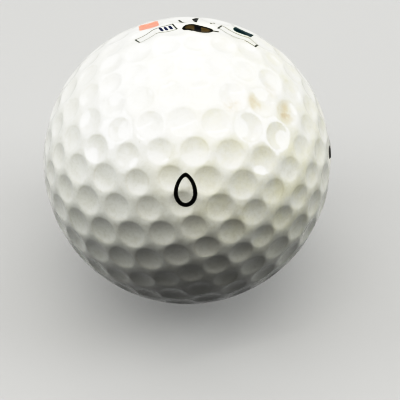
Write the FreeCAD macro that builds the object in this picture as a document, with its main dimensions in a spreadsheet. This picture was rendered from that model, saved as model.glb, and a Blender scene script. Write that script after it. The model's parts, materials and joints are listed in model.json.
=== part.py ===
import FreeCAD, Part
import math
import os

# Golf ball of moulded layers, in millimetres.
# Frame: origin at the ball's centre, +Z up as the ball is shown, -Y towards the play number.
# The moulding (layers, seam and dimples) is made with its pole on +Z and then turned as one.

Vector = FreeCAD.Vector
CENTRE = Vector(0, 0, 0)

doc = FreeCAD.newDocument("golf_ball")


# ---------------------------------------------------------------- driving dimensions

DIMENSIONS = [
    ("ball_diameter", 42.67),
    ("mantle_diameter", 39.9),
    ("outer_core_diameter", 38.1),
    ("inner_core_diameter", 25.4),
    ("lattice_long_step", 8),
    ("lattice_short_step", 1),
    ("smallest_dimple", 3.8),
    ("dimple_size_step", 0.2),
    ("dimple_size_count", 4),
    ("dimple_depth_ratio", 0.06),
    ("land_width", 0.13),
    ("ink_thickness", 0.04),
    ("moulding_yaw", 10.1),
    ("moulding_pitch", -31.8),
    ("moulding_roll", 2.2),
    ("number_height", 5.0),
    ("number_width", 3.3),
    ("number_stroke", 0.55),
    ("roundel_width", 4.6),
    ("roundel_height", 2.75),
    ("roundel_rim", 0.42),
    ("roundel_band", 1.0),
    ("panel_length", 6.4),
    ("panel_width", 1.85),
    ("panel_side_stroke", 0.15),
    ("panel_end_stroke", 0.26),
    ("left_patch_length", 3.0),
    ("left_patch_width", 3.8),
    ("right_patch_length", 2.9),
    ("right_patch_width", 2.8),
    ("patch_corner", 0.6),
    ("ray_length", 2.8),
    ("ray_width", 0.35),
    ("wedge_width", 1.0),
    ("wedge_tip", 0.3),
    ("tick_length", 1.0),
    ("block_length", 1.1),
    ("block_width", 0.5),
    ("block_pitch", 0.75),
    ("line_length", 12.4),
    ("line_width", 0.7),
    ("arrow_width", 2.2),
    ("arrow_length", 1.7),
]

sheet = doc.addObject("Spreadsheet::Sheet", "Dimensions")
for row, (alias, value) in enumerate(DIMENSIONS, start=1):
    sheet.set("A%d" % row, alias)
    sheet.set("B%d" % row, str(value))
    sheet.setAlias("B%d" % row, alias)
doc.recompute()

BALL_RADIUS = sheet.ball_diameter / 2.0
INK_RADIUS = BALL_RADIUS + sheet.ink_thickness
MOULDING_TURN = FreeCAD.Rotation(sheet.moulding_yaw, sheet.moulding_pitch, sheet.moulding_roll)
MOULDING_PLACEMENT = FreeCAD.Placement(CENTRE, MOULDING_TURN)

# A dimple cutter overlaps the land by this much and stands this far out of the ball.
CUTTER_OVERLAP = 0.04
CUTTER_HEADROOM = 0.4
# The spreading that evens out the lattice: rounds, and the share of each push that is taken.
SPREADING_ROUNDS = 20
SPREADING_SHARE = 0.012


# ---------------------------------------------------------------- dimple pattern

def octahedron_lattice(long_step, short_step):
    """Directions of a triangular lattice laid over the eight faces of an octahedron."""
    turn = complex(0.5, math.sqrt(3.0) / 2.0)
    edge = long_step + short_step * turn
    reach = long_step + short_step
    found = {}
    for sign_x in (1, -1):
        for sign_y in (1, -1):
            for sign_z in (1, -1):
                corners = [Vector(sign_x, 0, 0), Vector(0, sign_y, 0), Vector(0, 0, sign_z)]
                if sign_x * sign_y * sign_z < 0:
                    corners.reverse()
                for i in range(-reach, reach + 1):
                    for j in range(reach + 1):
                        spot = spot_on_face(corners, (i + j * turn) / edge, turn)
                        if spot is not None:
                            found[tuple(round(part, 5) + 0.0 for part in spot)] = spot
    return list(found.values())


def spot_on_face(corners, place, turn):
    """The direction of one lattice place on a face, or None where it lies outside the face."""
    third = place.imag / turn.imag
    second = place.real - third * turn.real
    shares = (1.0 - second - third, second, third)
    if min(shares) < -1e-9:
        return None
    spot = Vector(0, 0, 0)
    for corner, share in zip(corners, shares):
        spot += corner * math.sin(0.5 * math.pi * max(share, 0.0))
    return spot.normalize()


def spread_evenly(spots, rounds, share):
    """Directions moved apart a little where they crowd, each pushed by its neighbours."""
    pitch = math.sqrt(8.0 * math.pi / (math.sqrt(3.0) * len(spots)))
    near = [
        [k for k, other in enumerate(spots) if k != n and (spot - other).Length < 2.2 * pitch]
        for n, spot in enumerate(spots)
    ]
    for _ in range(rounds):
        moved = []
        for n, spot in enumerate(spots):
            push = Vector(0, 0, 0)
            for k in near[n]:
                apart = spot - spots[k]
                push += apart * (share * (pitch / apart.Length) ** 6)
            moved.append((spot + push).normalize())
        spots = moved
    return spots


def dimple_diameters(spots):
    """For each direction, the largest of the mould's dimple sizes that keeps the land."""
    diameters = []
    for n, spot in enumerate(spots):
        nearest = min((spot - other).Length for k, other in enumerate(spots) if k != n)
        half_gap = math.asin(nearest / 2.0) - sheet.land_width / (2.0 * BALL_RADIUS)
        room = 2.0 * BALL_RADIUS * math.sin(half_gap)
        sizes_up = int((room - sheet.smallest_dimple) / sheet.dimple_size_step)
        sizes_up = max(0, min(sizes_up, int(sheet.dimple_size_count) - 1))
        diameters.append(sheet.smallest_dimple + sizes_up * sheet.dimple_size_step)
    return diameters


def dimple_cutter(diameter, raised):
    """A lens on the +Z axis that cuts one dimple; raised lifts its floor by that much."""
    rim = diameter / 2.0
    depth = sheet.dimple_depth_ratio * diameter
    bowl_radius = (rim * rim + depth * depth) / (2.0 * depth)
    bowl_centre = math.sqrt(BALL_RADIUS ** 2 - rim ** 2) - depth + bowl_radius
    floor_radius = bowl_radius - raised
    edge = rim + CUTTER_OVERLAP
    edge_angle = math.asin(edge / floor_radius)
    top = BALL_RADIUS + CUTTER_HEADROOM

    def on_bowl(angle):
        return Vector(floor_radius * math.sin(angle), 0, bowl_centre - floor_radius * math.cos(angle))

    floor = Part.Arc(on_bowl(0), on_bowl(edge_angle / 2.0), on_bowl(edge_angle)).toShape()
    corners = [on_bowl(edge_angle), Vector(edge, 0, top), Vector(0, 0, top), on_bowl(0)]
    sides = [Part.LineSegment(a, b).toShape() for a, b in zip(corners, corners[1:])]
    return Part.Face(Part.Wire([floor] + sides)).revolve(CENTRE, Vector(0, 0, 1), 360)


def cutter_set(spots, diameters, raised=0.0):
    """One cutter for each direction, in the moulding's own position."""
    kinds = {size: dimple_cutter(size, raised) for size in sorted(set(diameters))}
    cutters = []
    for spot, size in zip(spots, diameters):
        cutter = kinds[size].copy()
        cutter.Placement = FreeCAD.Placement(CENTRE, FreeCAD.Rotation(Vector(0, 0, 1), spot))
        cutters.append(cutter)
    return cutters


SPOTS = spread_evenly(
    octahedron_lattice(int(sheet.lattice_long_step), int(sheet.lattice_short_step)),
    SPREADING_ROUNDS,
    SPREADING_SHARE,
)
DIAMETERS = dimple_diameters(SPOTS)


# ---------------------------------------------------------------- moulded layers

def sphere_object(name, diameter_alias, low_angle=-90, high_angle=90):
    """A Part::Sphere, or the half of one between two latitudes, sized from the sheet."""
    ball = doc.addObject("Part::Sphere", name)
    ball.setExpression("Radius", "Dimensions.%s / 2" % diameter_alias)
    ball.Angle1 = low_angle
    ball.Angle2 = high_angle
    return ball


def half_shell(name, outer_alias, inner_alias, low_angle, high_angle):
    """Half of a hollow sphere, split at the moulding's seam plane."""
    shell = doc.addObject("Part::Cut", name)
    shell.Base = sphere_object(name + "_outside", outer_alias, low_angle, high_angle)
    shell.Tool = sphere_object(name + "_inside", inner_alias)
    return shell


HALVES = (("upper", 0, 90), ("lower", -90, 0))

inner_core = sphere_object("inner_core", "inner_core_diameter")
pieces = [inner_core]
for half, low, high in HALVES:
    pieces.append(half_shell("outer_core_" + half, "outer_core_diameter", "inner_core_diameter", low, high))
    pieces.append(half_shell("mantle_" + half, "mantle_diameter", "outer_core_diameter", low, high))

all_cutters = cutter_set(SPOTS, DIAMETERS)
for half, low, high in HALVES:
    side = 1 if half == "upper" else -1
    reach = sheet.smallest_dimple / BALL_RADIUS
    own_cutters = [c for c, spot in zip(all_cutters, SPOTS) if side * spot.z > -reach]
    dimples = doc.addObject("Part::Feature", "dimples_" + half)
    dimples.Shape = Part.makeCompound(own_cutters)
    cover = doc.addObject("Part::Cut", "cover_" + half)
    cover.Base = half_shell("cover_blank_" + half, "ball_diameter", "mantle_diameter", low, high)
    cover.Tool = dimples
    pieces.append(cover)

for piece in pieces:
    piece.Placement = MOULDING_PLACEMENT


# ---------------------------------------------------------------- printed marks

# Each mark is drawn flat, with +Y its own upright, and printed along the ball's radius.
# How far a mark's prism reaches below the ball's surface, and out of it.
PRISM_DEPTH = 2.4
PRISM_HEADROOM = 0.3

raised_cutters = cutter_set(SPOTS, DIAMETERS, raised=sheet.ink_thickness)
for cutter in all_cutters + raised_cutters:
    cutter.Placement = MOULDING_PLACEMENT.multiply(cutter.Placement)
SURFACE_SPOTS = [MOULDING_TURN.multVec(spot) * BALL_RADIUS for spot in SPOTS]


def facing(azimuth, elevation):
    """The turn that takes +Z to a direction on the ball; azimuth runs from -Y towards +X."""
    return FreeCAD.Rotation(Vector(0, 0, 1), azimuth).multiply(
        FreeCAD.Rotation(Vector(1, 0, 0), 90.0 - elevation))


def step_on_ball(turn, along, across, tilt=0.0):
    """A turn moved over the ball by two arc lengths, then tilted about its own radius."""
    for axis, angle in ((Vector(0, 1, 0), math.degrees(along / BALL_RADIUS)),
                        (Vector(1, 0, 0), -math.degrees(across / BALL_RADIUS)),
                        (Vector(0, 0, 1), tilt)):
        turn = turn.multiply(FreeCAD.Rotation(axis, angle))
    return turn


def polygon(points):
    corners = [Vector(x, y, 0) for x, y in points]
    return Part.Face(Part.makePolygon(corners + corners[:1]))


def bar(length, width):
    """A bar with round ends."""
    radius = width / 2.0
    half = length / 2.0 - radius
    upper = Part.LineSegment(Vector(half, radius, 0), Vector(-half, radius, 0))
    left = Part.Arc(Vector(-half, radius, 0), Vector(-half - radius, 0, 0), Vector(-half, -radius, 0))
    lower = Part.LineSegment(Vector(-half, -radius, 0), Vector(half, -radius, 0))
    right = Part.Arc(Vector(half, -radius, 0), Vector(half + radius, 0, 0), Vector(half, radius, 0))
    return Part.Face(Part.Wire([edge.toShape() for edge in (upper, left, lower, right)]))


def rectangle(length, width):
    half, side = length / 2.0, width / 2.0
    return polygon([(half, side), (-half, side), (-half, -side), (half, -side)])


def patch(length, width, corner):
    """A rectangle with rounded corners."""
    return rectangle(length - 2 * corner, width - 2 * corner).makeOffset2D(corner)


def oval(width, height):
    ring = Part.Ellipse(CENTRE, width / 2.0, height / 2.0)
    return Part.Face(Part.Wire([ring.toShape()]))


def egg(width, height, belly=0.41, fullness=0.55, pinch=0.30):
    """A zero that is widest below its middle: belly is the share of its height below there."""
    half = width / 2.0
    low = -height / 2.0
    waist = low + belly * height
    top = height / 2.0
    quarters = []
    for side in (1, -1):
        quarters.append([
            (side * half, waist), (side * half, waist + fullness * (top - waist)),
            (side * pinch * half, top), (0, top)])
        quarters.append([
            (side * half, waist), (side * half, waist - fullness * (waist - low)),
            (side * fullness * half, low), (0, low)])
    edges = []
    for poles in quarters:
        curve = Part.BezierCurve()
        curve.setPoles([Vector(x, y, 0) for x, y in poles])
        edges.append(curve.toShape())
    return Part.Face(Part.Wire(Part.__sortEdges__(edges)))


def printed(name, *prints):
    """A layer of ink on the dimpled surface, from pairs of a flat face and its turn."""
    layers = []
    for face, turn in prints:
        face = face.copy()
        face.translate(Vector(0, 0, BALL_RADIUS - PRISM_DEPTH))
        prism = face.extrude(Vector(0, 0, PRISM_DEPTH + PRISM_HEADROOM))
        prism.Placement = FreeCAD.Placement(CENTRE, turn)
        middle = turn.multVec(Vector(0, 0, BALL_RADIUS))
        reach = face.BoundBox.DiagonalLength / 2.0 + max(DIAMETERS)
        near = [n for n, spot in enumerate(SURFACE_SPOTS) if (spot - middle).Length < reach]
        outside = prism.common(Part.makeSphere(INK_RADIUS)).cut([raised_cutters[n] for n in near])
        inside = prism.common(Part.makeSphere(BALL_RADIUS)).cut([all_cutters[n] for n in near])
        layers += outside.cut(inside).Solids
    mark = doc.addObject("Part::Feature", name)
    mark.Shape = Part.makeCompound(layers)
    pieces.append(mark)


# The play number, below the ball's shoulder on the -Y side.
stroke = sheet.number_stroke
zero = egg(sheet.number_width, sheet.number_height).cut(
    egg(sheet.number_width - 2 * stroke, sheet.number_height - 2 * stroke))
printed("play_number", (zero, facing(-0.8, 32.6)))

# The emblem over the top: a roundel between two framed panels, a patch over each, and rays.
emblem = facing(0.0, 110.0)
roundel_turn = step_on_ball(emblem, 1.65, -0.25)
roundel_inside = oval(sheet.roundel_width - 2 * sheet.roundel_rim,
                      sheet.roundel_height - 2 * sheet.roundel_rim)
roundel_centre = roundel_inside.cut(rectangle(sheet.roundel_band, sheet.roundel_height))
roundel_ring = oval(sheet.roundel_width, sheet.roundel_height).cut(roundel_centre)
printed("emblem_roundel", (roundel_ring, roundel_turn))
printed("emblem_roundel_centre", *[(face, roundel_turn) for face in roundel_centre.Faces])

panel = rectangle(sheet.panel_length, sheet.panel_width).cut(rectangle(
    sheet.panel_length - 2 * sheet.panel_end_stroke, sheet.panel_width - 2 * sheet.panel_side_stroke))
left_panel_turn = step_on_ball(emblem, -4.55, -0.6, 24.0)
right_panel_turn = step_on_ball(emblem, 7.8, 0.2, -21.0)
printed("emblem_panels", (panel, left_panel_turn), (panel, right_panel_turn))

left_patch = patch(sheet.left_patch_length, sheet.left_patch_width, sheet.patch_corner)
right_patch = patch(sheet.right_patch_length, sheet.right_patch_width, sheet.patch_corner)
printed("emblem_patch_left", (left_patch, step_on_ball(emblem, -5.7, 3.1, 6.0)))
printed("emblem_patch_right", (right_patch, step_on_ball(emblem, 8.7, 2.9, -20.0)))

# Two rays with a wedge between them that narrows towards the roundel, and a tick beside it.
ray = bar(sheet.ray_length, sheet.ray_width)
tick = bar(sheet.tick_length, sheet.ray_width)
far_end = sheet.ray_length / 2.0
wedge = polygon([(far_end, sheet.wedge_width / 2.0), (-far_end, sheet.wedge_tip / 2.0),
                 (-far_end, -sheet.wedge_tip / 2.0), (far_end, -sheet.wedge_width / 2.0)])
printed("emblem_rays", *[
    (face, step_on_ball(roundel_turn, along, across, tilt))
    for face, along, across, tilt in (
        (ray, -2.4, 3.75, 109.0), (wedge, -0.3, 3.75, 90.0), (ray, 2.3, 3.75, 74.0),
        (tick, 2.7, -0.4, -35.0))])

# Blocks stand in for lettering in the upper end of the left panel.
block = bar(sheet.block_length, sheet.block_width)
block_start = 0.95
printed("emblem_blocks", *[
    (block, step_on_ball(left_panel_turn, block_start + n * sheet.block_pitch, 0.1, 90.0))
    for n in range(3)])

# The alignment line with its two arrowheads, at the ball's side.
half_line = sheet.line_length / 2.0
half_width = sheet.line_width / 2.0
barb = sheet.arrow_width / 2.0
tip = half_line + sheet.arrow_length
upper_side = [(half_line, barb), (half_line, half_width), (-half_line, half_width), (-half_line, barb)]
lower_side = [(-x, -y) for x, y in upper_side]
arrows = polygon([(tip, 0.0)] + upper_side + [(-tip, 0.0)] + lower_side)
printed("alignment_line", (arrows, facing(107.0, 5.5)))


# ---------------------------------------------------------------- checks and files

doc.recompute()

for item in doc.Objects:
    if "Invalid" in item.State or "Error" in item.State:
        raise RuntimeError("failed: " + item.Name)

os.makedirs("parts", exist_ok=True)
for piece in pieces:
    piece.Label = piece.Name
    shape = piece.Shape
    if shape.isNull() or not shape.isValid() or not shape.Solids:
        raise RuntimeError("bad shape: " + piece.Name)
    shape.exportStep("parts/%s.step" % piece.Label)
    print("%-24s %2d solids %10.3f mm3" % (piece.Label, len(shape.Solids), shape.Volume))
print("dimples:", len(SPOTS), "sizes:", sorted((d, DIAMETERS.count(d)) for d in set(DIAMETERS)))
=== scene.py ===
import json
import math

import bmesh
import bpy
import numpy as np
from mathutils import Euler, Matrix, Vector


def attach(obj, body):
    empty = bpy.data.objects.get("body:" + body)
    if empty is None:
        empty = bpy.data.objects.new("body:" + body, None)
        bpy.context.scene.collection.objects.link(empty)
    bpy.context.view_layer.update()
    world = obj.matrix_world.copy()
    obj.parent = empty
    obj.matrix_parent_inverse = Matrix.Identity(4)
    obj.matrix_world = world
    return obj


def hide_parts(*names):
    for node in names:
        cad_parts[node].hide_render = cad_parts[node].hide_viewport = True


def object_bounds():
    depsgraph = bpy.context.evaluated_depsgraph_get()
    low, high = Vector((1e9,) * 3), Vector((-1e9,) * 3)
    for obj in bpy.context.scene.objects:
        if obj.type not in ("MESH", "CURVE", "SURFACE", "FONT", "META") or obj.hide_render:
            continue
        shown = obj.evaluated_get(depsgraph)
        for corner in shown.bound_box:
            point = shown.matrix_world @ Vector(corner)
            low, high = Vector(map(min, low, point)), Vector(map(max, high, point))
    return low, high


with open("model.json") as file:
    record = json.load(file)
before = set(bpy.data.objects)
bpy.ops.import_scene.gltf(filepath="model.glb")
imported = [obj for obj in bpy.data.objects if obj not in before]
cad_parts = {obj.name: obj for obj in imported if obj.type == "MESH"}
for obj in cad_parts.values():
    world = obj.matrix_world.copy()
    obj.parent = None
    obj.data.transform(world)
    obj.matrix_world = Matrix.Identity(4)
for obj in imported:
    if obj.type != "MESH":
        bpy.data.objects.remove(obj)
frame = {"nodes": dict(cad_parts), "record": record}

CAD_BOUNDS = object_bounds()

# ------------------------------------------------------------------ sizes, in metres

MM = 0.001
# The one mount lies on the ball's sphere, straight below its centre, so its height gives the radius.
BALL_RADIUS = -frame["record"]["mounts"][0]["pos_m"][2]
MANTLE_RADIUS = 19.95 * MM

LATTICE_STEPS = (8, 1)
# The spreading that evens out the lattice: rounds, the share of each push that is taken, how many
# pitches a push reaches, and the power by which it weakens with distance.
SPREADING_ROUNDS = 20
SPREADING_SHARE = 0.012
SPREADING_REACH = 2.2
SPREADING_POWER = 6
SMALLEST_DIMPLE = 3.8 * MM
DIMPLE_SIZE_STEP = 0.2 * MM
DIMPLE_SIZE_COUNT = 4
DIMPLE_DEPTH_RATIO = 0.06
LAND_WIDTH = 0.13 * MM
# Paint rounds the rim of every dimple over about this height.
RIM_SOFTNESS = 0.030 * MM
MOULDING_TURN = np.array(Euler(
    (math.radians(2.2), math.radians(-31.8), math.radians(10.1)), "XYZ").to_matrix())

# Rings of points in each dimple: shares of its rim, then steps out onto the land.
RING_SHARES = (0.26, 0.48, 0.66, 0.79, 0.88, 0.94, 0.98)
LAND_RINGS = (0.02 * MM, 0.06 * MM)
RING_POINTS = 36
INSIDE_RINGS = 14
# Each point of the surface looks at this many dimples, and this many points are worked out at once.
NEAREST_DIMPLES = 5
POINTS_AT_ONCE = 8000

# The ink's top stands this far out of the painted surface, and its underside is this far in it.
INK_LIFT = 0.020 * MM
INK_SINK = 0.012 * MM

# Where each mark is printed, as azimuth and elevation in degrees.
NUMBER_PLACE = (-0.8, 32.6)
EMBLEM_PLACE = (0.0, 110.0)
LINE_PLACE = (107.0, 5.5)


def unit(vectors):
    """The same directions with a length of one."""
    return vectors / np.linalg.norm(vectors, axis=-1, keepdims=True)


# ------------------------------------------------------------------ dimple pattern

def octahedron_lattice(long_step, short_step):
    """Directions of a triangular lattice laid over the eight faces of an octahedron."""
    turn = complex(0.5, math.sqrt(3.0) / 2.0)
    edge = long_step + short_step * turn
    reach = long_step + short_step
    found = {}
    for signs in [(x, y, z) for x in (1, -1) for y in (1, -1) for z in (1, -1)]:
        corners = np.diag(signs).astype(float)
        if signs[0] * signs[1] * signs[2] < 0:
            corners = corners[::-1]
        for i in range(-reach, reach + 1):
            for j in range(reach + 1):
                place = (i + j * turn) / edge
                third = place.imag / turn.imag
                second = place.real - third * turn.real
                shares = np.array([1.0 - second - third, second, third])
                if shares.min() < -1e-9:
                    continue
                spot = unit(np.sin(0.5 * np.pi * shares.clip(0.0)) @ corners)
                found[tuple(np.round(spot, 5) + 0.0)] = spot
    return np.array(list(found.values()))


def spread_evenly(spots, rounds, share):
    """Directions moved apart a little where they crowd, each pushed by its neighbours."""
    pitch = math.sqrt(8.0 * math.pi / (math.sqrt(3.0) * len(spots)))
    gaps = np.linalg.norm(spots[:, None] - spots[None], axis=2)
    near = (gaps < SPREADING_REACH * pitch) & (gaps > 0.0)
    for _ in range(rounds):
        apart = spots[:, None] - spots[None]
        gaps = np.linalg.norm(apart, axis=2) + ~near
        strength = near * share * (pitch / gaps) ** SPREADING_POWER
        spots = unit(spots + (strength[..., None] * apart).sum(axis=1))
    return spots


def dimple_diameters(spots):
    """For each direction, the largest of the mould's dimple sizes that keeps the land."""
    gaps = np.linalg.norm(spots[:, None] - spots[None], axis=2)
    np.fill_diagonal(gaps, np.inf)
    half_gap = np.arcsin(gaps.min(axis=1) / 2.0) - LAND_WIDTH / (2.0 * BALL_RADIUS)
    room = 2.0 * BALL_RADIUS * np.sin(half_gap)
    sizes_up = np.floor((room - SMALLEST_DIMPLE) / DIMPLE_SIZE_STEP)
    return SMALLEST_DIMPLE + sizes_up.clip(0, DIMPLE_SIZE_COUNT - 1) * DIMPLE_SIZE_STEP


SPOTS = spread_evenly(octahedron_lattice(*LATTICE_STEPS), SPREADING_ROUNDS, SPREADING_SHARE)
DIAMETERS = dimple_diameters(SPOTS)
RIMS = DIAMETERS / 2.0
DEPTHS = DIMPLE_DEPTH_RATIO * DIAMETERS
BOWL_RADII = (RIMS ** 2 + DEPTHS ** 2) / (2.0 * DEPTHS)
BOWL_CENTRES = np.sqrt(BALL_RADIUS ** 2 - RIMS ** 2) - DEPTHS + BOWL_RADII


# ------------------------------------------------------------------ the dimpled surface

def surface_radius(directions):
    """The painted surface's distance from the centre, along directions in the moulding's frame."""
    radii = []
    for block in np.array_split(directions, max(1, len(directions) // POINTS_AT_ONCE)):
        cosine = block @ SPOTS.T
        nearest = np.argpartition(-cosine, NEAREST_DIMPLES - 1, axis=1)[:, :NEAREST_DIMPLES]
        cosine = np.take_along_axis(cosine, nearest, axis=1)
        centre = BOWL_CENTRES[nearest]
        under_root = BOWL_RADII[nearest] ** 2 - centre ** 2 * (1.0 - cosine ** 2)
        bowls = np.where(
            under_root > 0.0, centre * cosine - np.sqrt(under_root.clip(0.0)), 2.0 * BALL_RADIUS)
        depths = np.concatenate([np.full((len(block), 1), 0.0), bowls - BALL_RADIUS], axis=1)
        lowest = depths.min(axis=1, keepdims=True)
        rounding = np.log(np.exp((lowest - depths) / RIM_SOFTNESS).sum(axis=1))
        radii.append(BALL_RADIUS + lowest[:, 0] - RIM_SOFTNESS * rounding)
    return np.concatenate(radii)


def tangents(directions):
    """Two directions at right angles to each given one and to each other."""
    helper = np.where(np.abs(directions[:, 2:]) < 0.9, [[0.0, 0.0, 1.0]], [[1.0, 0.0, 0.0]])
    first = unit(np.cross(helper, directions))
    return first, np.cross(directions, first)


def surface_normal(directions):
    """The outward normal of the painted surface, from its slope over a small step."""
    step = 0.02 * MM / BALL_RADIUS
    middle = surface_radius(directions)
    normal = directions.copy()
    for tangent in tangents(directions):
        ahead = surface_radius(unit(directions + step * tangent))
        behind = surface_radius(unit(directions - step * tangent))
        normal -= tangent * ((ahead - behind) / (2.0 * step * middle))[:, None]
    return unit(normal)


# ------------------------------------------------------------------ materials

class Paint:
    """A node material: a Principled shader and short calls for the nodes that feed it."""

    def __init__(self, name, colour, roughness, **constants):
        self.material = bpy.data.materials.new(name)
        self.material.use_nodes = True
        self.nodes = self.material.node_tree.nodes
        self.links = self.material.node_tree.links
        self.shader = self.nodes["Principled BSDF"]
        self.shader.inputs["Base Color"].default_value = (*colour, 1.0)
        self.shader.inputs["Roughness"].default_value = roughness
        for key, value in constants.items():
            self.shader.inputs[key.replace("_", " ")].default_value = value
        self.place = self.add("ShaderNodeTexCoord").outputs["Object"]
        self.material.diffuse_color = (*colour, 1.0)

    def add(self, kind, **settings):
        """A new node of a kind, with its settings."""
        node = self.nodes.new(kind)
        for key, value in settings.items():
            setattr(node, key, value)
        return node

    def feed(self, target, value):
        """Link a socket to an input, or set the input to a fixed value."""
        if isinstance(value, bpy.types.NodeSocket):
            self.links.new(value, target)
        else:
            target.default_value = value

    def noise(self, scale, detail=4.0, rough=0.55, stretch=None, seed=0.0):
        """Noise over the ball; scale is in waves per metre."""
        node = self.add("ShaderNodeTexNoise", noise_dimensions="4D")
        node.inputs["Scale"].default_value = scale
        node.inputs["Detail"].default_value = detail
        node.inputs["Roughness"].default_value = rough
        node.inputs["W"].default_value = seed
        place = self.place
        if stretch:
            mapping = self.add("ShaderNodeMapping")
            mapping.inputs["Scale"].default_value = stretch[0]
            mapping.inputs["Rotation"].default_value = stretch[1]
            self.feed(mapping.inputs["Vector"], place)
            place = mapping.outputs["Vector"]
        self.feed(node.inputs["Vector"], place)
        return node.outputs["Fac"]

    def ramp(self, value, low, high, to_low=0.0, to_high=1.0):
        """A smooth step from one result to another while the value goes from low to high."""
        node = self.add("ShaderNodeMapRange", interpolation_type="SMOOTHSTEP")
        self.feed(node.inputs["Value"], value)
        for key, number in (("From Min", low), ("From Max", high), ("To Min", to_low), ("To Max", to_high)):
            node.inputs[key].default_value = number
        return node.outputs["Result"]

    def maths(self, operation, first, second=0.0):
        node = self.add("ShaderNodeMath", operation=operation)
        self.feed(node.inputs[0], first)
        self.feed(node.inputs[1], second)
        return node.outputs[0]

    def distance(self, point):
        """Distance from a fixed point of the ball, in metres."""
        node = self.add("ShaderNodeVectorMath", operation="DISTANCE")
        self.feed(node.inputs[0], self.place)
        node.inputs[1].default_value = point
        return node.outputs["Value"]

    def along(self, direction):
        """How far a point lies along a direction, in metres."""
        node = self.add("ShaderNodeVectorMath", operation="DOT_PRODUCT")
        self.feed(node.inputs[0], self.place)
        node.inputs[1].default_value = direction
        return node.outputs["Value"]

    def mix(self, share, first, second):
        """The first colour where the share is 0 and the second where it is 1."""
        node = self.add("ShaderNodeMix", data_type="RGBA")
        self.feed(node.inputs["Factor"], share)
        for key, colour in (("A", first), ("B", second)):
            target = [s for s in node.inputs if s.name == key and s.type == "RGBA"][0]
            self.feed(target, (*colour, 1.0) if isinstance(colour, tuple) else colour)
        return [s for s in node.outputs if s.type == "RGBA"][0]

    def bump(self, height, distance, strength, below=None):
        """A bump from a height, laid over another bump if one is given below it."""
        node = self.add("ShaderNodeBump")
        node.inputs["Strength"].default_value = strength
        node.inputs["Distance"].default_value = distance
        self.feed(node.inputs["Height"], height)
        if below is not None:
            self.feed(node.inputs["Normal"], below)
        return node.outputs["Normal"]

    def finish(self, colour, roughness=None, normal=None):
        """Feed the shader and give the finished material."""
        self.feed(self.shader.inputs["Base Color"], colour)
        if roughness is not None:
            self.feed(self.shader.inputs["Roughness"], roughness)
        if normal is not None:
            self.feed(self.shader.inputs["Normal"], normal)
        return self.material


# Direction on the ball, reach in metres and strength of each stain.
STAINS = [
    ((0.304, -0.370, 0.878), 1.8 * MM, 0.75),
    ((0.459, -0.311, 0.832), 2.0 * MM, 0.60),
    ((0.671, -0.254, 0.696), 2.3 * MM, 0.85),
    ((0.567, -0.152, 0.810), 1.8 * MM, 0.35),
    ((-0.520, 0.640, 0.565), 2.6 * MM, 0.45),
    ((0.200, 0.900, -0.387), 3.0 * MM, 0.45),
]


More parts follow.
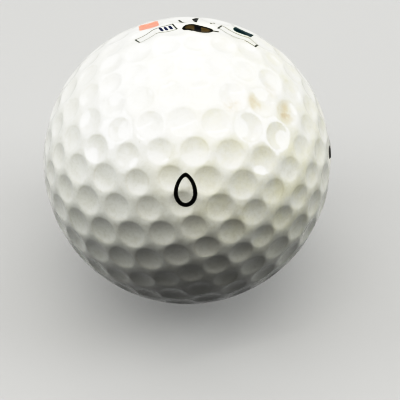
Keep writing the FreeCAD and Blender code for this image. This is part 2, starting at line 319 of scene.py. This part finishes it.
def cover_paint():
    """Glossy white paint on the ionomer cover, aged, stained and lightly scuffed."""
    paint = Paint("cover_paint", (0.85, 0.85, 0.82), 0.36, Coat_Weight=0.8, Coat_Roughness=0.05,
                  Specular_IOR_Level=0.25)

    # Yellowing: broad and uneven, strongest on the upper right shoulder.
    broad = paint.noise(55.0, detail=3.0, seed=1.0)
    patchy = paint.noise(260.0, detail=4.0, rough=0.6, seed=8.0)
    shoulder = paint.ramp(paint.along((0.62, -0.30, 0.72)), 0.006, 0.021)
    yellowing = paint.maths("MULTIPLY", shoulder, paint.ramp(patchy, 0.30, 0.72, 0.10, 0.75))
    faint = paint.ramp(broad, 0.35, 0.70, 0.0, 0.16)
    colour = paint.mix(paint.maths("MAXIMUM", yellowing, faint), (0.86, 0.866, 0.83), (0.84, 0.82, 0.64))

    # A darker ring just inside every dimple's rim, partly dirt and partly painted shade that outlines the
    # dimples where the light washes them out; dust on their floors.
    def at_depth(depth):
        return BALL_RADIUS - depth * MM

    length = paint.add("ShaderNodeVectorMath", operation="LENGTH")
    paint.feed(length.inputs[0], paint.place)
    radius = length.outputs["Value"]
    # Painted shade and dirt: a darker ring just inside each dimple's rim.
    rim = paint.maths("MULTIPLY",
                      paint.ramp(radius, at_depth(0.13), at_depth(0.07)),
                      paint.ramp(radius, at_depth(0.045), at_depth(0.015), 1.0, 0.0))
    rim = paint.maths("MULTIPLY", rim, paint.ramp(patchy, 0.42, 0.66, 0.0, 0.16))
    colour = paint.mix(rim, colour, (0.56, 0.53, 0.42))
    floor = paint.ramp(radius, at_depth(0.26), at_depth(0.10), 1.0, 0.0)
    dust = paint.maths("MULTIPLY", floor, paint.ramp(paint.noise(420.0, seed=2.0), 0.40, 0.80, 0.0, 0.28))
    colour = paint.mix(dust, colour, (0.62, 0.60, 0.52))

    # Tan stains where dirty water has dried: a pale wash with soft darker edges.
    curl = paint.maths("SUBTRACT", paint.noise(330.0, detail=4.0, seed=3.0), 0.5)
    edges = paint.ramp(paint.maths("ABSOLUTE", curl), 0.005, 0.085, 0.42, 0.0)
    wash = paint.ramp(paint.noise(430.0, detail=5.0, rough=0.62, seed=9.0), 0.38, 0.60, 0.15, 0.85)
    stain = 0.0
    for direction, reach, strength in STAINS:
        spot = [part * BALL_RADIUS for part in direction]
        near = paint.ramp(paint.distance(spot), 0.35 * reach, reach, strength, 0.0)
        stain = paint.maths("MAXIMUM", near, stain)
    colour = paint.mix(paint.maths("MULTIPLY", stain, wash), colour, (0.70, 0.61, 0.46))
    colour = paint.mix(paint.maths("MULTIPLY", stain, edges), colour, (0.50, 0.38, 0.27))

    # Fine grey specks and short hairline scuffs, and a faint mottle all over.
    scuff_mask = paint.ramp(paint.noise(130.0, detail=2.0, seed=6.0), 0.48, 0.66)
    specks = paint.ramp(paint.noise(2600.0, detail=2.0, seed=4.0), 0.69, 0.75, 0.0, 0.45)
    scuffs = paint.noise(900.0, detail=3.0, seed=5.0, stretch=((1.0, 0.07, 0.35), (0.4, 0.9, 0.3)))
    scuffs = paint.maths("MULTIPLY", paint.ramp(scuffs, 0.64, 0.74), scuff_mask)
    marks = paint.maths("MAXIMUM", paint.maths("MULTIPLY", specks, scuff_mask),
                        paint.maths("MULTIPLY", scuffs, 0.32))
    colour = paint.mix(marks, colour, (0.34, 0.33, 0.30))
    mottle = paint.ramp(paint.noise(1900.0, detail=4.0, rough=0.7, seed=10.0), 0.42, 0.70, 0.0, 0.22)
    colour = paint.mix(mottle, colour, (0.62, 0.61, 0.53))

    roughness = paint.maths("ADD", paint.ramp(broad, 0.3, 0.7, 0.28, 0.42),
                            paint.maths("MULTIPLY", marks, 0.35))
    peel = paint.bump(paint.noise(1500.0, detail=2.0, seed=7.0), 0.010 * MM, 0.5)
    nicks = paint.bump(scuffs, 0.02 * MM, -0.6, below=peel)
    return paint.finish(colour, roughness, nicks)


def ink(name, colour, roughness=0.35, metallic=0.0, sparkle=None, wear=0.35):
    """Pad-printed ink under the clear coat, a little uneven in density and with specks of wear; where a
    sparkle colour is given, the specks show it as painted glints.
    """
    paint = Paint(name, colour, roughness, Coat_Weight=0.1, Coat_Roughness=0.05,
                  Specular_IOR_Level=0.15, Metallic=metallic)
    density = paint.ramp(paint.noise(2200.0, detail=3.0, seed=11.0), 0.35, 0.80, 0.0, 0.35)
    wear_and_sparkle = paint.ramp(paint.noise(1500.0, detail=5.0, rough=0.7, seed=12.0), 0.52, 0.72, 0.0, wear)
    lighter = tuple(part + 0.05 * (1.0 - part) for part in colour)
    mixed = paint.mix(density, colour, lighter)
    # Specks of wear, lighter; for the bronze ink they take the sparkle colour, a painted glint.
    mixed = paint.mix(wear_and_sparkle, mixed, sparkle or tuple(part + 0.3 * (0.8 - part) for part in colour))
    rough = paint.ramp(density, 0.0, 0.35, roughness, roughness + 0.14)
    bump = paint.bump(paint.noise(3000.0, detail=2.0, seed=13.0), 0.006 * MM, 0.5)
    return paint.finish(mixed, rough, bump)


def moulded(name, colour, darker, roughness, grain):
    """Moulded rubber or ionomer of the inner layers, with flow marks and a fine grain."""
    paint = Paint(name, colour, roughness)
    flow = paint.ramp(paint.noise(160.0, detail=4.0, seed=21.0), 0.3, 0.7)
    flecks = paint.ramp(paint.noise(2400.0, detail=2.0, seed=22.0), 0.62, 0.70, 0.0, 0.6)
    mixed = paint.mix(flecks, paint.mix(flow, colour, darker), tuple(0.5 * part for part in darker))
    rough = paint.ramp(flow, 0.0, 1.0, roughness - 0.08, roughness + 0.10)
    bump = paint.bump(paint.noise(grain, detail=3.0, seed=23.0), 0.03 * MM, 0.6)
    return paint.finish(mixed, rough, bump)


def floor_paint():
    """A pale table with a slight glow of its own, so that the shadow on it stays light."""
    paint = Paint("floor_paint", (0.25, 0.25, 0.248), 0.8, Emission_Color=(1.0, 1.0, 0.99, 1.0),
                  Emission_Strength=0.25)
    tone = paint.mix(paint.noise(14.0, detail=3.0, seed=31.0), (0.24, 0.24, 0.238), (0.26, 0.26, 0.258))
    return paint.finish(tone)


# ------------------------------------------------------------------ mesh helpers

def new_object(name, bm, material, replaced):
    """A piece of the ball, made from a bmesh, that stands for one CAD node."""
    mesh = bpy.data.meshes.new(name)
    bm.to_mesh(mesh)
    bm.free()
    mesh.materials.append(material)
    piece = bpy.data.objects.new(name, mesh)
    bpy.context.scene.collection.objects.link(piece)
    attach(piece, "root")
    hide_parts(replaced)
    return piece


def positions(bm):
    return np.array([vert.co[:] for vert in bm.verts])


# ------------------------------------------------------------------ the dimpled cover

def ring_directions(spot, angles):
    """Points of concentric rings about one direction."""
    first, second = (tangent[0] for tangent in tangents(spot[None]))
    around = np.arange(RING_POINTS) * 2.0 * np.pi / RING_POINTS
    circle = np.cos(around)[:, None] * first + np.sin(around)[:, None] * second
    return [math.cos(angle) * spot + math.sin(angle) * circle for angle in angles]


def land_faces(edges):
    """Triangles of the land between the dimples' outermost rings, as corner indices."""
    hull = bmesh.new()
    for point in edges.reshape(-1, 3):
        hull.verts.new(point)
    hull.verts.ensure_lookup_table()
    hull.verts.index_update()
    bmesh.ops.convex_hull(hull, input=list(hull.verts))
    faces = []
    for face in hull.faces:
        corners = [vert.index for vert in face.verts]
        if len({corner // RING_POINTS for corner in corners}) > 1:
            faces.append(corners if face.normal.dot(face.calc_center_median()) > 0 else corners[::-1])
    hull.free()
    return faces


def dimpled_sphere():
    """Directions and faces of the whole dimpled surface, in the moulding's frame."""
    rings = len(RING_SHARES) + len(LAND_RINGS)
    per_dimple = 1 + rings * RING_POINTS
    points = []
    faces = []
    edges = []
    for n, spot in enumerate(SPOTS):
        lengths = [share * RIMS[n] for share in RING_SHARES] + [RIMS[n] + step for step in LAND_RINGS]
        circles = ring_directions(spot, [math.asin(length / BALL_RADIUS) for length in lengths])
        points += [spot[None]] + circles
        edges.append(circles[-1])
        start = n * per_dimple
        for k in range(RING_POINTS):
            after = (k + 1) % RING_POINTS
            faces.append((start, start + 1 + k, start + 1 + after))
            for ring in range(rings - 1):
                low = start + 1 + ring * RING_POINTS
                high = low + RING_POINTS
                faces.append((low + k, high + k, high + after, low + after))
    last_ring = 1 + (rings - 1) * RING_POINTS
    for corners in land_faces(np.array(edges)):
        faces.append([c // RING_POINTS * per_dimple + last_ring + c % RING_POINTS for c in corners])
    return np.concatenate(points), faces


def half_cover(name, directions, faces, side, material):
    """One half cup of the cover: dimpled outside, flat seam face, smooth inside."""
    bm = bmesh.new()
    verts = [bm.verts.new(point) for point in directions]
    for face in faces:
        bm.faces.new([verts[corner] for corner in face])
    everything = bm.verts[:] + bm.edges[:] + bm.faces[:]
    bmesh.ops.bisect_plane(bm, geom=everything, dist=1e-7, plane_co=(0, 0, 0),
                           plane_no=(0, 0, -side), clear_outer=True)
    bmesh.ops.triangulate(bm, faces=[face for face in bm.faces if len(face.verts) > 4])
    outside = unit(positions(bm))
    radii = surface_radius(outside)
    for vert, direction, radius in zip(bm.verts, outside, radii):
        vert.co = direction * radius
    outer_normals = dict(zip(bm.verts, surface_normal(outside)))
    outer_faces = set(bm.faces)
    close_inside(bm, side)
    normals = cover_normals(bm, outer_normals, outer_faces)
    bm.transform(Matrix(MOULDING_TURN.tolist()).to_4x4())
    piece = new_object(name, bm, material, name.replace("_skin", ""))
    mesh = piece.data
    mesh.shade_smooth()
    mesh.normals_split_custom_set((normals @ MOULDING_TURN.T).tolist())
    return piece


def close_inside(bm, side):
    """The flat seam face and the smooth inside, ring by ring from the open edge to the pole."""
    edge_loop = seam_loop(bm, side)
    azimuths = [math.atan2(vert.co.y, vert.co.x) for vert in edge_loop]
    below = edge_loop
    for ring in range(INSIDE_RINGS):
        latitude = 0.5 * math.pi * ring / INSIDE_RINGS
        height = side * MANTLE_RADIUS * math.sin(latitude)
        width = MANTLE_RADIUS * math.cos(latitude)
        above = [bm.verts.new((width * math.cos(a), width * math.sin(a), height)) for a in azimuths]
        for k in range(len(above)):
            after = (k + 1) % len(above)
            bm.faces.new((below[after], below[k], above[k], above[after]))
        below = above
    pole = bm.verts.new((0, 0, side * MANTLE_RADIUS))
    for k in range(len(below)):
        bm.faces.new((below[(k + 1) % len(below)], below[k], pole))


def seam_loop(bm, side):
    """The open edge's vertices in order, so that the new faces continue the outside."""
    start = next(edge for edge in bm.edges if edge.is_boundary)
    corner = start.link_loops[0]
    loop = [corner.vert]
    current = corner.edge.other_vert(corner.vert)
    previous = start
    while current is not loop[0]:
        loop.append(current)
        previous = next(e for e in current.link_edges if e.is_boundary and e is not previous)
        current = previous.other_vert(current)
    return loop


def cover_normals(bm, outer_normals, outer_faces):
    """A normal for each face corner: the true surface outside, the flat or round face inside."""
    normals = []
    bm.normal_update()
    for face in bm.faces:
        on_seam = all(abs(vert.co.z) < 1e-8 for vert in face.verts)
        for vert in face.verts:
            if face in outer_faces:
                normals.append(outer_normals[vert])
            elif on_seam:
                normals.append(np.array(face.normal))
            else:
                normals.append(-unit(np.array(vert.co)))
    return np.array(normals)


# ------------------------------------------------------------------ printed marks

def facing(azimuth, elevation):
    """The turn that takes +Z to a direction on the ball; azimuth runs from -Y towards +X."""
    return (Matrix.Rotation(math.radians(azimuth), 3, "Z")
            @ Matrix.Rotation(math.radians(90.0 - elevation), 3, "X"))


def step_on_ball(turn, along, across, tilt=0.0):
    """A turn moved over the ball by two arc lengths, then tilted about its own radius."""
    return (turn @ Matrix.Rotation(along / BALL_RADIUS, 3, "Y")
            @ Matrix.Rotation(-across / BALL_RADIUS, 3, "X")
            @ Matrix.Rotation(math.radians(tilt), 3, "Z"))


def add_film(bm, grid, turn, closed):
    """A thin closed layer over the surface, from a flat grid of (x, y) rows; closed joins the ends."""
    rows, columns, _ = grid.shape
    flat = grid.reshape(-1, 2) / BALL_RADIUS
    local = np.column_stack([flat, np.sqrt(1.0 - (flat ** 2).sum(axis=1))])
    on_ball = local @ np.array(turn).T
    radius = surface_radius(on_ball @ MOULDING_TURN)
    layers = []
    for shift in (INK_LIFT, -INK_SINK):
        layers.append([bm.verts.new(point) for point in on_ball * (radius + shift)[:, None]])
    top, bottom = layers

    def add(*corners):
        bm.faces.new(corners)

    for i in range(rows if closed else rows - 1):
        a, b = i * columns, (i + 1) % rows * columns
        for j in range(columns - 1):
            add(top[a + j], top[b + j], top[b + j + 1], top[a + j + 1])
            add(bottom[a + j + 1], bottom[b + j + 1], bottom[b + j], bottom[a + j])
        last = columns - 1
        add(bottom[a], bottom[b], top[b], top[a])
        add(top[a + last], top[b + last], bottom[b + last], bottom[a + last])
    if not closed:
        end = (rows - 1) * columns
        for j in range(columns - 1):
            add(top[j], top[j + 1], bottom[j + 1], bottom[j])
            add(bottom[end + j], bottom[end + j + 1], top[end + j + 1], top[end + j])


def printed(name, material, films):
    """A mark made of films, each a grid, its turn and whether the grid's ends join."""
    bm = bmesh.new()
    for grid, turn, closed in films:
        add_film(bm, grid, turn, closed)
    bmesh.ops.remove_doubles(bm, verts=bm.verts[:], dist=0.0005 * MM)
    bmesh.ops.recalc_face_normals(bm, faces=bm.faces[:])
    for face in bm.faces:
        face.smooth = True
    bm.edges.ensure_lookup_table()
    for edge in bm.edges:
        edge.smooth = edge.calc_face_angle(0.0) < math.radians(50.0)
    return new_object(name + "_film", bm, material, name)


def band(outer, inner, steps=5):
    """A grid between two closed outlines with matching points."""
    shares = np.linspace(0.0, 1.0, steps)[None, :, None]
    return inner[:, None] * (1.0 - shares) + outer[:, None] * shares


def strip(along, half_width, steps=9):
    """A grid about the x axis, from its stations and its half width at each."""
    across = np.linspace(-1.0, 1.0, steps)
    grid = np.empty((len(along), steps, 2))
    grid[..., 0] = along[:, None]
    grid[..., 1] = -half_width[:, None] * across
    return grid


def oval_outline(width, height, points=96):
    """An ellipse as a closed outline."""
    around = np.linspace(0.0, 2.0 * np.pi, points, endpoint=False)
    return np.column_stack([width / 2.0 * np.cos(around), height / 2.0 * np.sin(around)])


def bar_strip(length, width):
    """A bar with round ends, as a grid."""
    radius = width / 2.0
    half = length / 2.0
    along = half * np.sin(np.linspace(-0.5 * np.pi, 0.5 * np.pi, 33))
    past = (np.abs(along) - (half - radius)).clip(0.0)
    return strip(along, np.sqrt((radius ** 2 - past ** 2).clip(0.0)))


def patch_strip(length, width, corner):
    """A rectangle with rounded corners, as a grid."""
    half = length / 2.0
    along = half * np.sin(np.linspace(-0.5 * np.pi, 0.5 * np.pi, 49))
    past = (np.abs(along) - (half - corner)).clip(0.0)
    return strip(along, width / 2.0 - corner + np.sqrt((corner ** 2 - past ** 2).clip(0.0)), 33)


def wedge_strip(length, tip, width):
    """A wedge along the x axis, from its narrow end to its wide one."""
    return strip(np.linspace(-length / 2.0, length / 2.0, 25), np.linspace(tip, width, 25) / 2.0)


def rectangle_outline(length, width, points=48):
    """A rectangle as a closed outline, with the same share of its points on every side."""
    corners = np.array([(1, 1), (-1, 1), (-1, -1), (1, -1)]) * (length / 2.0, width / 2.0)
    share = np.linspace(0.0, 1.0, points, endpoint=False)[:, None]
    sides = zip(corners, np.roll(corners, -1, axis=0))
    return np.concatenate([start * (1.0 - share) + end * share for start, end in sides])


def egg_outline(width, height, belly=0.41, fullness=0.55, pinch=0.30, points=24):
    """A zero that is widest below its middle, as a closed outline of four curves."""
    half = width / 2.0
    low = -height / 2.0
    waist = low + belly * height
    upper = [(half, waist), (half, waist + fullness * (-low - waist)), (pinch * half, -low), (0.0, -low)]
    lower = [(half, waist), (half, waist - fullness * (waist - low)), (fullness * half, low), (0.0, low)]
    share = np.linspace(0.0, 1.0, points, endpoint=False)[:, None]

    def curve(poles):
        a, b, c, d = np.array(poles)
        rest = 1.0 - share
        return rest ** 3 * a + 3 * rest ** 2 * share * b + 3 * rest * share ** 2 * c + share ** 3 * d

    return np.concatenate([
        curve(upper), curve([(-x, y) for x, y in upper[::-1]]),
        curve([(-x, y) for x, y in lower]), curve(lower[::-1])])


def play_number(material):
    """The zero on the front."""
    width, height, stroke = 3.3 * MM, 5.0 * MM, 0.55 * MM
    ring = band(egg_outline(width, height), egg_outline(width - 2 * stroke, height - 2 * stroke), 6)
    printed("play_number", material, [(ring, facing(*NUMBER_PLACE), True)])


def emblem(black, bronze, grey, salmon, teal, navy):
    """A roundel between two framed panels, a patch over each, rays, a wedge, a tick and blocks."""
    base = facing(*EMBLEM_PLACE)
    turn = step_on_ball(base, 1.65 * MM, -0.25 * MM)
    width, height, rim, band_half = 4.6 * MM, 2.75 * MM, 0.42 * MM, 0.5 * MM
    inner_width, inner_height = width - 2 * rim, height - 2 * rim

    def inside(along):
        return inner_height / 2.0 * np.sqrt((1.0 - (2.0 * along / inner_width) ** 2).clip(0.0))

    ring = band(oval_outline(width, height), oval_outline(inner_width, inner_height), 4)
    middle = np.linspace(-band_half, band_half, 9)
    printed("emblem_roundel", black,
            [(ring, turn, True), (strip(middle, inside(middle)), turn, False)])
    half_angle = math.asin(2.0 * band_half / inner_width)
    right = inner_width / 2.0 * np.sin(np.linspace(half_angle, 0.5 * np.pi, 15))
    printed("emblem_roundel_centre", bronze,
            [(strip(right, inside(right)), turn, False),
             (strip(-right[::-1], inside(right[::-1])), turn, False)])

    length, breadth, side_stroke, end_stroke = 6.4 * MM, 1.85 * MM, 0.15 * MM, 0.26 * MM
    panel = band(rectangle_outline(length, breadth),
                 rectangle_outline(length - 2 * end_stroke, breadth - 2 * side_stroke), 3)
    left_turn = step_on_ball(base, -4.55 * MM, -0.6 * MM, 24.0)
    right_turn = step_on_ball(base, 7.8 * MM, 0.2 * MM, -21.0)
    printed("emblem_panels", grey, [(panel, left_turn, True), (panel, right_turn, True)])

    corner = 0.6 * MM
    left_patch = patch_strip(3.0 * MM, 3.8 * MM, corner)
    right_patch = patch_strip(2.9 * MM, 2.8 * MM, corner)
    printed("emblem_patch_left", salmon,
            [(left_patch, step_on_ball(base, -5.7 * MM, 3.1 * MM, 6.0), False)])
    printed("emblem_patch_right", teal,
            [(right_patch, step_on_ball(base, 8.7 * MM, 2.9 * MM, -20.0), False)])

    ray = bar_strip(2.8 * MM, 0.35 * MM)
    wedge = wedge_strip(2.8 * MM, 0.3 * MM, 1.0 * MM)
    tick = bar_strip(1.0 * MM, 0.35 * MM)
    printed("emblem_rays", black, [
        (grid, step_on_ball(turn, along * MM, across * MM, tilt), False)
        for grid, along, across, tilt in (
            (ray, -2.4, 3.75, 109.0), (wedge, -0.3, 3.75, 90.0), (ray, 2.3, 3.75, 74.0),
            (tick, 2.7, -0.4, -35.0))])
    block = bar_strip(1.1 * MM, 0.5 * MM)
    printed("emblem_blocks", navy, [
        (block, step_on_ball(left_turn, (0.95 + 0.75 * n) * MM, 0.1 * MM, 90.0), False)
        for n in range(3)])


def alignment_line(material):
    """A straight line with an arrowhead at each end."""
    half, half_width, barb, tip = 6.2 * MM, 0.35 * MM, 1.1 * MM, 7.9 * MM
    corner = 0.02 * MM
    head = np.linspace(half, tip, 14)
    shaft = np.linspace(-half + corner, half - corner, 90)
    along = np.concatenate([-head[::-1], shaft, head])
    slope = barb * (tip - head) / (tip - half)
    widths = np.concatenate([slope[::-1], np.full(len(shaft), half_width), slope])
    printed("alignment_line", material, [(strip(along, widths), facing(*LINE_PLACE), False)])


# ------------------------------------------------------------------ building the ball

skin = cover_paint()
directions, faces = dimpled_sphere()
for half, side in (("upper", 1), ("lower", -1)):
    half_cover("cover_%s_skin" % half, directions, faces, side, skin)

black_ink = ink("black_ink", (0.004, 0.004, 0.004))
play_number(black_ink)
emblem(
    black_ink,
    ink("bronze_ink", (0.16, 0.115, 0.040), 0.32, 0.35, (0.42, 0.34, 0.15)),
    ink("grey_ink", (0.07, 0.075, 0.075)),
    ink("salmon_ink", (0.84, 0.33, 0.27), wear=0.9),
    ink("teal_ink", (0.003, 0.035, 0.042)),
    ink("navy_ink", (0.010, 0.018, 0.075)))
alignment_line(black_ink)

for nodes, material in (
        (("inner_core",), moulded("inner_core_rubber", (0.08, 0.17, 0.36), (0.05, 0.11, 0.25), 0.55, 900.0)),
        (("outer_core_upper", "outer_core_lower"),
         moulded("outer_core_rubber", (0.42, 0.09, 0.06), (0.30, 0.06, 0.04), 0.55, 900.0)),
        (("mantle_upper", "mantle_lower"),
         moulded("mantle_ionomer", (0.78, 0.75, 0.62), (0.70, 0.66, 0.52), 0.40, 500.0))):
    for node in nodes:
        mesh = frame["nodes"][node].data
        mesh.materials.clear()
        mesh.materials.append(material)


# ------------------------------------------------------------------ floor, lights and camera

FLOOR_REACH = 0.75


def add_floor():
    """A flat floor at the height of the CAD model's lowest point."""
    bm = bmesh.new()
    bmesh.ops.create_grid(bm, x_segments=8, y_segments=8, size=FLOOR_REACH)
    mesh = bpy.data.meshes.new("floor")
    bm.to_mesh(mesh)
    bm.free()
    mesh.materials.append(floor_paint())
    floor = bpy.data.objects.new("floor", mesh)
    floor.location.z = CAD_BOUNDS[0][2]
    # A lamp under the floor stands for the light that a table throws up, so the floor itself adds no
    # diffuse light and doesn't shade the lamp. It still shows in the ball's gloss.
    floor.visible_diffuse = False
    floor.visible_shadow = False
    bpy.context.scene.collection.objects.link(floor)


def add_light(name, azimuth, elevation, distance, size, energy, colour=(1.0, 0.985, 0.945)):
    """A soft area light that faces the ball; azimuth runs from -Y towards +X. Size is (long, wide)."""
    turn = facing(azimuth, elevation).to_4x4()
    light = bpy.data.lights.new(name, "AREA")
    light.shape = "ELLIPSE" if size[0] == size[1] else "RECTANGLE"
    light.size, light.size_y = size
    light.energy = energy
    light.color = colour
    lamp = bpy.data.objects.new(name, light)
    lamp.matrix_world = turn @ Matrix.Translation((0, 0, distance))
    bpy.context.scene.collection.objects.link(lamp)


def add_world(strength, colour, shown):
    """A dim room, with pale walls where the camera looks past the floor."""
    world = bpy.data.worlds.new("studio")
    world.use_nodes = True
    nodes, links = world.node_tree.nodes, world.node_tree.links
    room = nodes["Background"]
    room.inputs["Color"].default_value = (*colour, 1.0)
    room.inputs["Strength"].default_value = strength
    walls = nodes.new("ShaderNodeBackground")
    walls.inputs["Color"].default_value = (1.0, 1.0, 0.99, 1.0)
    walls.inputs["Strength"].default_value = shown
    choice = nodes.new("ShaderNodeMixShader")
    links.new(nodes.new("ShaderNodeLightPath").outputs["Is Camera Ray"], choice.inputs["Fac"])
    links.new(room.outputs["Background"], choice.inputs[1])
    links.new(walls.outputs["Background"], choice.inputs[2])
    links.new(choice.outputs["Shader"], nodes["World Output"].inputs["Surface"])
    bpy.context.scene.world = world


CAMERA_ELEVATION = math.radians(44.0)
SENSOR_WIDTH = 36.0
# Distance in ball radii, the ball's radius as a share of the picture's width, and its centre's place
# from the picture's centre, right and up, in the same share.
CAMERA_DISTANCE = 20.0
BALL_IN_PICTURE = 0.3595
BALL_RIGHT = -0.0317
BALL_UP = 0.0990


def add_camera():
    """The camera at the photograph's angle, aimed so that the ball lies where it does there."""
    away = Vector((0.0, -math.cos(CAMERA_ELEVATION), math.sin(CAMERA_ELEVATION)))
    right = Vector((1.0, 0.0, 0.0))
    up = away.cross(right)
    distance = CAMERA_DISTANCE * BALL_RADIUS
    picture = math.tan(math.asin(1.0 / CAMERA_DISTANCE)) / BALL_IN_PICTURE
    camera = bpy.data.cameras.new("camera")
    camera.sensor_width = SENSOR_WIDTH
    camera.lens = SENSOR_WIDTH / picture
    camera.clip_start = 0.01
    holder = bpy.data.objects.new("camera", camera)
    holder.location = distance * away
    target = distance * picture * (-BALL_RIGHT * right - BALL_UP * up)
    holder.rotation_euler = (holder.location - target).to_track_quat("Z", "Y").to_euler()
    bpy.context.scene.collection.objects.link(holder)
    bpy.context.scene.camera = holder


FILL_DISTANCE = 0.80
FILL_SIZE = (0.40, 0.40)
FILL_COLOUR = (0.97, 0.99, 1.0)

add_floor()
add_light("overhead", -90, 88, 0.60, (1.0, 1.0), 4.65)
add_light("tube", 20, 84, 0.55, (0.90, 0.03), 0.5)
for azimuth, elevation, energy in (
        (-60, 30, 0.35), (-90, 30, 1.7), (90, 30, 2.1), (-135, 28, 0.7), (135, 28, 0.7), (180, 28, 0.5)):
    add_light("fill_%d" % (azimuth % 360), azimuth, elevation, FILL_DISTANCE, FILL_SIZE, energy,
              FILL_COLOUR)
add_light("table_glow", 0, -90, 0.60, (0.60, 0.60), 0.36, (1.0, 1.0, 1.0))
add_world(0.01, (0.95, 0.98, 1.0), 0.46)
add_camera()

view = bpy.context.scene.view_settings
view.view_transform = "Standard"
view.look = "Very High Contrast"
view.exposure = -0.4
# A tone curve with a soft shoulder, so that the brightest part of the cover keeps its shading. It goes
# from a brightness in the scene to the one shown, before the exposure.
BRIGHTEST = 3.0
view.use_curve_mapping = True
tone = view.curve_mapping
tone.clip_max_x = BRIGHTEST
overall = tone.curves[3]
overall.points[1].location = (BRIGHTEST, 0.85)
for brightness, shown in (
        (0.18, 0.15), (0.28, 0.25), (0.42, 0.42), (0.55, 0.56), (0.68, 0.66), (0.82, 0.72), (1.2, 0.79),
        (1.7, 0.825)):
    overall.points.new(brightness, shown)
tone.update()
